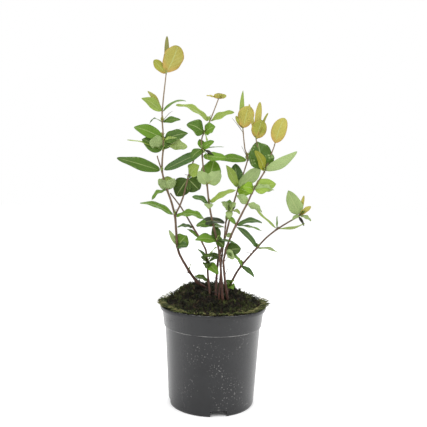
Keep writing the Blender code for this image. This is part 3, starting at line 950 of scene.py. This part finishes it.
def scatter(name, surface, shape, material, values):
    """Scatters copies of a small shape over a surface with Geometry Nodes, as one plain mesh."""
    single = add_shape(name + "_shape", shape)
    tree = scatter_tree(name, single, material)
    piece = add_object(name, surface.data.copy())
    modifier = piece.modifiers.new("scatter", "NODES")
    modifier.node_group = tree
    for item in tree.interface.items_tree:
        if item.in_out == "INPUT" and item.name in values:
            modifier[item.identifier] = values[item.name]
    done = evaluated_mesh(piece)
    piece.modifiers.clear()
    piece.data = done
    bpy.data.objects.remove(single)
    return piece


class PLANT_OT_pot(bpy.types.Operator):
    """Build the nursery pot"""
    bl_idname = "plant.pot"
    bl_label = "Pot"

    def execute(self, context):
        """Turns the pot's profile, cuts its notches and gives it its plastic."""
        profile = self.profile()
        mesh = bpy.data.meshes.new("nursery_pot")
        mesh.from_pydata([(x, 0, z) for x, z in profile],
                         [(i, i + 1) for i in range(len(profile) - 1)], [])
        pot = add_object("nursery_pot", mesh)
        screw = pot.modifiers.new("turn", "SCREW")
        screw.steps = screw.render_steps = POT_SIDES
        screw.use_merge_vertices = True
        screw.merge_threshold = POT_WELD
        blocks = [self.cut_notch(pot, i) for i in range(NOTCHES)]
        done = evaluated_mesh(pot)
        pot.modifiers.clear()
        pot.data = done
        for block in blocks:
            bpy.data.objects.remove(block)
        done.shade_smooth()
        done.set_sharp_from_angle(angle=POT_CREASE)
        done.materials.clear()
        done.materials.append(self.plastic())
        finish_piece(pot, ["pot"])
        return {"FINISHED"}

    def profile(self):
        """The pot's wall in section: lip, collar, step, wall, foot ring, raised floor, inside."""
        lip = POT_HEIGHT - LIP_HEIGHT
        mouth = COLLAR_TOP_RADIUS - POT_WALL
        ring = BASE_RADIUS - FOOT_RING
        return [(mouth, POT_HEIGHT - LIP_ROUND), (mouth + LIP_CORNER, POT_HEIGHT - LIP_CORNER),
                (COLLAR_TOP_RADIUS, POT_HEIGHT), (RIM_RADIUS - LIP_ROUND, POT_HEIGHT),
                (RIM_RADIUS - LIP_CORNER, POT_HEIGHT - LIP_CORNER),
                (RIM_RADIUS, POT_HEIGHT - LIP_ROUND), (RIM_RADIUS, lip + LIP_ROUND),
                (RIM_RADIUS - LIP_ROUND / 2, lip), (COLLAR_TOP_RADIUS + CORNER, lip),
                (COLLAR_TOP_RADIUS, lip - CORNER_DROP),
                (COLLAR_FOOT_RADIUS, STEP_HEIGHT + STEP_RISE),
                (COLLAR_FOOT_RADIUS - CORNER, STEP_HEIGHT + STEP_RISE / 2),
                (WALL_TOP_RADIUS + CORNER, STEP_HEIGHT),
                (WALL_TOP_RADIUS, STEP_HEIGHT - CORNER_DROP), (WALL_FOOT_RADIUS, FOOT_ROUND),
                (WALL_FOOT_RADIUS - CORNER_DROP, STEP_RISE), (BASE_RADIUS, 0), (ring, 0),
                (ring, POT_FLOOR), (0, POT_FLOOR), (0, POT_FLOOR + POT_WALL),
                (BASE_RADIUS - POT_WALL, POT_FLOOR + POT_WALL),
                (WALL_TOP_RADIUS - POT_WALL, STEP_HEIGHT),
                (COLLAR_FOOT_RADIUS - POT_WALL, STEP_HEIGHT + STEP_INNER_RISE),
                (mouth, POT_HEIGHT - LIP_ROUND)]

    def cut_notch(self, pot, number):
        """Cuts one drainage notch into the pot's foot, with a block that stays until it is done."""
        turn = NOTCH_TURN + 2 * math.pi * number / NOTCHES
        bm = bmesh.new()
        bmesh.ops.create_cube(bm, size=1)
        place = (Matrix.Rotation(turn, 4, "Z") @ Matrix.Translation((BASE_RADIUS, 0, 0))
                 @ Matrix.Diagonal((*NOTCH_SIZE, 1)))
        bmesh.ops.transform(bm, matrix=place, verts=bm.verts)
        block = add_shape("notch", bm)
        cut = pot.modifiers.new("notch", "BOOLEAN")
        cut.operation = "DIFFERENCE"
        cut.object = block
        return block

    def plastic(self):
        """Matt grey plastic with patches of dust specks and a chalky line along its step."""
        colour = tuple(settings().pot_colour)
        material, tree, shader = new_material("pot_plastic", roughness=0.27, specular=0.36)
        place = object_place(tree)
        dark, light = (shade(colour, tone) for tone in POT_TONES)
        cloudy = mottled(tree, place, dark, light, POT_CLOUDS)["Color"]
        specks = speckled(tree, place, *DUST_SPECKS)
        patches = speckled(tree, place, *DUST_PATCHES)
        chalk = speckled(tree, place, *CHALK)
        at_step = add_math(tree, "COMPARE", separated(tree, place)["Z"],
                           STEP_HEIGHT + CORNER_DROP, CHALK_LINE_HALF)
        line = add_math(tree, "MULTIPLY", at_step, chalk)
        dust = add_math(tree, "MAXIMUM", line, add_math(tree, "MULTIPLY", specks, patches))
        share = add_math(tree, "MULTIPLY", dust, DUST_SHARE)
        tree.links.new(add_mix(tree, share, cloudy, DUST_COLOUR), shader.inputs["Base Color"])
        return material


class PLANT_OT_compost(bpy.types.Operator):
    """Build the heaped compost"""
    bl_idname = "plant.compost"
    bl_label = "Compost"

    def execute(self, context):
        """Builds the heap, then its crumbs, its moss and the strands over the rim."""
        height = heap_surface()
        heap = self.heap(height)
        finish_piece(heap, ["compost"])
        self.crumbs(heap)
        self.moss(heap)
        self.strands(height)
        return {"FINISHED"}

    def heap(self, height):
        """The heap's lumpy top, with its wall inside the pot."""
        bm = bmesh.new()
        rings = []
        for i in range(1, HEAP_RINGS + 1):
            radius = HEAP_RADIUS * (i / HEAP_RINGS) ** HEAP_RING_POWER
            inner = min(1.0, (1 - i / HEAP_RINGS) * HEAP_EDGE_FADE)
            ring = []
            for k in range(HEAP_SPOKES):
                turn = 2 * math.pi * k / HEAP_SPOKES
                spot = Vector((radius * math.cos(turn), radius * math.sin(turn), 0))
                spot.z = height(spot.x, spot.y)
                lumps = sum(rise * noise.noise(spot * count) for rise, count in HEAP_LUMPS)
                spot.z += inner * (lumps + HEAP_LIFT)
                ring.append(bm.verts.new(spot))
            rings.append(ring)
        middle = bm.verts.new((0, 0, height(0, 0)))
        foot = [bm.verts.new((vert.co.x * HEAP_FOOT_SHARE, vert.co.y * HEAP_FOOT_SHARE, STEP_HEIGHT))
                for vert in rings[-1]]
        rings.append(foot)
        for k in range(HEAP_SPOKES):
            bm.faces.new((middle, rings[0][k], rings[0][(k + 1) % HEAP_SPOKES]))
        for inner, outer in zip(rings, rings[1:]):
            for k in range(HEAP_SPOKES):
                n = (k + 1) % HEAP_SPOKES
                bm.faces.new((inner[k], outer[k], outer[n], inner[n]))
        bm.faces.new(list(reversed(foot)))
        for face in bm.faces:
            face.smooth = True
        material = mottled_material("dark_compost", *PEAT_FINISH, PEAT_DARK, PEAT_LIGHT, PEAT_GRAIN,
                                    bump=PEAT_RELIEF)
        return add_shape("compost_heap", bm, [material])

    def crumbs(self, heap):
        """Scatters crumbs of peat and bark over the heap."""
        bm = bmesh.new()
        bmesh.ops.create_icosphere(bm, subdivisions=1, radius=0.5)
        for vert in bm.verts:
            vert.co *= 1 + CRUMB_LUMP * noise.noise(vert.co * CRUMB_LUMPS)
            vert.co.z *= CRUMB_HEIGHT
        material = mottled_material("peat_crumbs", *PEAT_FINISH, PEAT_DARK, CRUMB_LIGHT, CRUMB_GRAIN)
        small, large = CRUMB_SIZES
        crumbs = scatter("compost_crumbs", heap, bm, material,
                         {"Density": settings().crumb_density, "Smallest": small,
                          "Largest": large, "Tilt": CRUMB_TILT, "Seed": CRUMB_SEED})
        finish_piece(crumbs)

    def moss(self, heap):
        """Scatters tufts of moss: low dark ones, yellow-green ones and pale fibres."""
        for name, tuft in TUFTS.items():
            material = mottled_material(name, *MOSS_FINISH, tuft.dark, tuft.light, *MOSS_PATCHES)
            tufts = scatter(name, heap, self.tuft_shape(tuft), material,
                            {"Density": settings().moss_density * tuft.share,
                             "Smallest": tuft.small, "Largest": tuft.large, "Tilt": TUFT_TILT,
                             "Seed": tuft.seed})
            finish_piece(tufts)

    def tuft_shape(self, tuft):
        """A tuft one unit tall, of narrow blades that lean outwards."""
        chance = random.Random(tuft.seed)
        bm = bmesh.new()
        for _ in range(tuft.blades):
            turn = chance.uniform(0, 2 * math.pi)
            out = Vector((math.cos(turn), math.sin(turn), 0))
            reach = chance.uniform(*TUFT_REACH) * tuft.lean
            tall = chance.uniform(*TUFT_HEIGHT)
            across = out.cross(UP) * TUFT_BLADE_HALF
            rows = []
            for i in range(TUFT_STEPS + 1):
                t = i / TUFT_STEPS
                at = out * (reach * t * t) + UP * (tall * t * (1 - TUFT_NOD * t))
                half = across * (1 - TUFT_TAPER * t)
                rows.append((bm.verts.new(at - half), bm.verts.new(at + half)))
            for (a, b), (c, d) in zip(rows, rows[1:]):
                bm.faces.new((a, b, d, c))
        return bm

    def strands(self, height):
        """Grows strands of moss that hang over the rim, most of them at the left and the right."""
        chance = random.Random(settings().moss_seed)
        bm = bmesh.new()
        steps = len(STRAND_RADII) - 1
        climb, droop = STRAND_ARCH
        for _ in range(settings().strands):
            turn = chance.uniform(0, 2 * math.pi)
            if chance.random() < STRAND_SHARE:
                turn = chance.choice(STRAND_BEARINGS) + chance.gauss(0, STRAND_SPREAD)
            out = Vector((math.cos(turn), math.sin(turn), 0))
            aside = out.cross(UP) * chance.uniform(*STRAND_ASIDE)
            start = out * (HEAP_RADIUS - chance.uniform(*STRAND_INSET))
            start.z = height(start.x, start.y) - STRAND_SUNK
            reach = chance.uniform(*STRAND_REACH)
            rise = chance.uniform(*STRAND_RISE)
            line = []
            for i in range(steps + 1):
                t = i / steps
                lift = reach * rise * t * (climb - droop * t) + STRAND_TIP_LIFT * t
                line.append(start + (out + aside) * (reach * t) + UP * lift)
            tube(bm, line, STRAND_RADII, STRAND_SIDES, chance.choice(STRAND_MIX))
        materials = plain_materials(STRAND_COLOURS, *MOSS_FINISH)
        finish_piece(add_shape("rim_moss", bm, materials))


class PLANT_OT_stems(bpy.types.Operator):
    """Build the stems with their bark"""
    bl_idname = "plant.stems"
    bl_label = "Stems"

    def execute(self, context):
        """Builds each stem along its solid's middle line, with swellings at its joints."""
        joints = {}
        for leaf in LEAVES:
            joints.setdefault(leaf.stem, set()).add(leaf.height * MM)
        bm = bmesh.new()
        for name, line in stem_lines().items():
            foot, tip = STEM_RADII[name]
            radii = []
            for i, place in enumerate(line):
                radius = (foot + (tip - foot) * i / (len(line) - 1)) * MM
                for height in joints.get(name, ()):
                    radius *= 1 + SWELLING * math.exp(-((place.z - height) / SWELLING_REACH) ** 2)
                radii.append(radius)
            tube(bm, line, radii, STEM_SIDES, 0, BARK_RELIEF)
        finish_piece(add_shape("stems", bm, [self.bark()]), list(STEM_RADII))
        return {"FINISHED"}

    def bark(self):
        """Thin red-brown bark: darker at the foot, tan and greenish above, with fine streaks."""
        colour = tuple(settings().bark_colour)
        material, tree, shader = new_material("thin_bark", roughness=0.5, specular=0.25)
        place = object_place(tree)
        stretch = add_node(tree, "ShaderNodeMapping", {"Vector": place, "Scale": STREAK_STRETCH})
        dark, light = (shade(colour, tone) for tone in BARK_TONES)
        streaks = mottled(tree, stretch.outputs["Vector"], dark, light, BARK_STREAKS)
        rise = add_range(tree, separated(tree, place)["Z"], *YOUNG_BARK_HEIGHTS)
        tree.links.new(add_mix(tree, rise, streaks["Color"], YOUNG_BARK), shader.inputs["Base Color"])
        add_bump(tree, shader, streaks["Mask"], STREAK_DEPTH)
        return material


class PLANT_OT_leaves(bpy.types.Operator):
    """Build the leaves and the small shoots in their axils"""
    bl_idname = "plant.leaves"
    bl_label = "Leaves"

    def execute(self, context):
        """Builds the leaves in three pieces, by their tone."""
        lines = stem_lines()
        chance = random.Random(settings().shoot_seed)
        palettes = self.palettes()
        shapes = {piece: bmesh.new() for piece in palettes}
        maps = {piece: bm.loops.layers.uv.new("Blade") for piece, bm in shapes.items()}

        def add(leaf, base, tip, width):
            piece = LEAF_KINDS[leaf.kind][0]
            kinds = [name for name, kind in LEAF_KINDS.items() if kind[0] == piece]
            first = 2 * kinds.index(leaf.kind)
            add_leaf(shapes[piece], maps[piece], base, tip, leaf, width, (first, first + 1),
                     piece == "young", chance)

        joints = {}
        for leaf in LEAVES:
            base = joint_place(lines, leaf.stem, leaf.height * MM)
            tip = seen_at(leaf.seen, base.y + leaf.away * MM)
            add(leaf, base, tip, leaf.width * MM * settings().leaf_scale)
            joints.setdefault((leaf.stem, leaf.height), []).append(tip - base)
        for (stem, height), spread in joints.items():
            if len(spread) > 1 and chance.random() >= SHOOT_GAPS:
                base = joint_place(lines, stem, height * MM)
                self.grow_shoot(add, base, height, spread[0], chance)
        taken = {name for names in MASSES.values() for name in names}
        taken.update(("pot", "compost", *STEM_RADII))
        dark = [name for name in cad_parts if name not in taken]
        for piece, bm in shapes.items():
            bmesh.ops.recalc_face_normals(bm, faces=bm.faces)
            finish_piece(add_shape("leaves_" + piece, bm, palettes[piece]),
                         MASSES.get(piece, dark))
        return {"FINISHED"}

    def palettes(self):
        """Each piece's materials: an upper and a lower side for each of its kinds of leaf."""
        palettes = {}
        for kind, (piece, upper, lower) in LEAF_KINDS.items():
            foot = (*YOUNG_FOOT, 1) if piece == "young" else shade(upper, FOOT_TONE)
            palettes.setdefault(piece, []).extend((
                leaf_material(kind + "_upper", upper, foot, UPPER_ROUGHNESS),
                leaf_material(kind + "_under", lower, foot, UNDER_ROUGHNESS)))
        return palettes

    def grow_shoot(self, add, base, height, along, chance):
        """Grows a pair of tiny leaves in an axil, at right angles to the pair there."""
        bearing = math.atan2(along.y, along.x) + math.pi / 2
        for way in (0, math.pi):
            turn = bearing + way + chance.uniform(*SHOOT_TURN)
            reach = chance.uniform(*SHOOT_REACH) * MM
            rise = chance.uniform(*SHOOT_RISE)
            tip = base + Vector((math.cos(turn), math.sin(turn), rise)).normalized() * reach
            kinds = ("mid", "dark", "fresh") if height < SHADED_BELOW else ("fresh", "mid", "young_green")
            leaf = Leaf(None, height, None, 0, 0, reach / MM * SHOOT_ARCH, SHOOT_FACE, SHOOT_FOLD,
                        chance.choice(kinds))
            add(leaf, base, tip, reach * SHOOT_WIDTH)


class PLANT_OT_twigs(bpy.types.Operator):
    """Build the dead twigs and stubs"""
    bl_idname = "plant.twigs"
    bl_label = "Twigs"

    def execute(self, context):
        """Grows thin dead twigs low on the stems and short stubs above their joints."""
        lines = stem_lines()
        chance = random.Random(settings().twig_seed)
        bm = bmesh.new()
        for name, count in TWIGS_LOW.items():
            for _ in range(count):
                height = lines[name][0].z + chance.uniform(*TWIG_HEIGHTS)
                self.grow(bm, joint_place(lines, name, height), chance, TWIG_REACH, TWIG_RISE, 0)
        for leaf in LEAVES:
            if chance.random() < STUB_SHARE:
                start = joint_place(lines, leaf.stem, leaf.height * MM)
                self.grow(bm, start, chance, STUB_REACH, STUB_RISE, 1)
        materials = plain_materials(TWIG_COLOURS, *TWIG_FINISH)
        finish_piece(add_shape("twigs", bm, materials))
        return {"FINISHED"}

    def grow(self, bm, place, chance, reaches, rises, index):
        """Adds one crooked twig from a stem's middle."""
        steps = len(TWIG_RADII) - 1
        step = chance.uniform(*reaches) / steps
        rise = chance.uniform(*rises)
        turn = chance.uniform(0, 2 * math.pi)
        heading = Vector((math.cos(turn), math.sin(turn), rise)).normalized()
        line = [place]
        for _ in range(steps):
            crook = Vector([chance.uniform(-TWIG_CROOK, TWIG_CROOK) for _ in range(3)])
            heading = (heading + crook).normalized()
            line.append(line[-1] + heading * step)
        tube(bm, line, TWIG_RADII, TWIG_SIDES, index)


class PLANT_OT_stage(bpy.types.Operator):
    """Build the floor, the lights and the camera"""
    bl_idname = "plant.stage"
    bl_label = "Stage"

    def execute(self, context):
        """Builds a pale floor, soft studio light and the photograph's camera."""
        bm = bmesh.new()
        bmesh.ops.create_grid(bm, x_segments=1, y_segments=1, size=FLOOR_SIZE)
        material = new_material("pale_floor", roughness=0.9, specular=0.1,
                                colour=settings().floor_colour)[0]
        add_shape("floor", bm, [material])
        world = bpy.data.worlds.new("studio")
        world.use_nodes = True
        sky = world.node_tree.nodes["Background"]
        sky.inputs["Color"].default_value = (1, 1, 1, 1)
        sky.inputs["Strength"].default_value = 1.0
        context.scene.world = world
        context.scene.view_settings.view_transform = "Standard"
        for name, place, size, power in LAMPS:
            data = bpy.data.lights.new(name, "AREA")
            data.size = size
            data.energy = power
            lamp = add_object(name, data)
            lamp.location = place
            lamp.rotation_euler = (LAMP_AIM - place).to_track_quat("-Z", "Y").to_euler()
        data = bpy.data.cameras.new("camera")
        data.sensor_width = SENSOR
        data.lens = CAMERA_LENS
        camera = add_object("camera", data)
        right, up, ahead = camera_axes()
        turn = Matrix((right, up, -ahead)).transposed().to_4x4()
        turn.translation = CAMERA_PLACE
        camera.matrix_world = turn
        context.scene.camera = camera
        return {"FINISHED"}


class PLANT_PT_panel(bpy.types.Panel):
    """The plant's panel in the 3D view's sidebar"""
    bl_label = "Potted Tutsan"
    bl_idname = "PLANT_PT_panel"
    bl_space_type = "VIEW_3D"
    bl_region_type = "UI"
    bl_category = "Plant"

    def draw(self, context):
        """Lists the settings and the operators."""
        for name in PlantSettings.__annotations__:
            self.layout.prop(context.scene.potted_plant, name)
        for operator in OPERATORS:
            self.layout.operator(operator.bl_idname)


OPERATORS = (PLANT_OT_pot, PLANT_OT_compost, PLANT_OT_stems, PLANT_OT_leaves, PLANT_OT_twigs,
             PLANT_OT_stage)


def register():
    """Registers the classes and the scene's settings."""
    for kind in (PlantSettings, *OPERATORS, PLANT_PT_panel):
        bpy.utils.register_class(kind)
    bpy.types.Scene.potted_plant = PointerProperty(type=PlantSettings)


def unregister():
    """Takes the settings and the classes away again."""
    del bpy.types.Scene.potted_plant
    for kind in reversed((PlantSettings, *OPERATORS, PLANT_PT_panel)):
        bpy.utils.unregister_class(kind)


def main():
    """Builds every piece."""
    register()
    bpy.ops.plant.pot()
    bpy.ops.plant.compost()
    bpy.ops.plant.stems()
    bpy.ops.plant.leaves()
    bpy.ops.plant.twigs()
    bpy.ops.plant.stage()


if __name__ == "__main__":
    main()
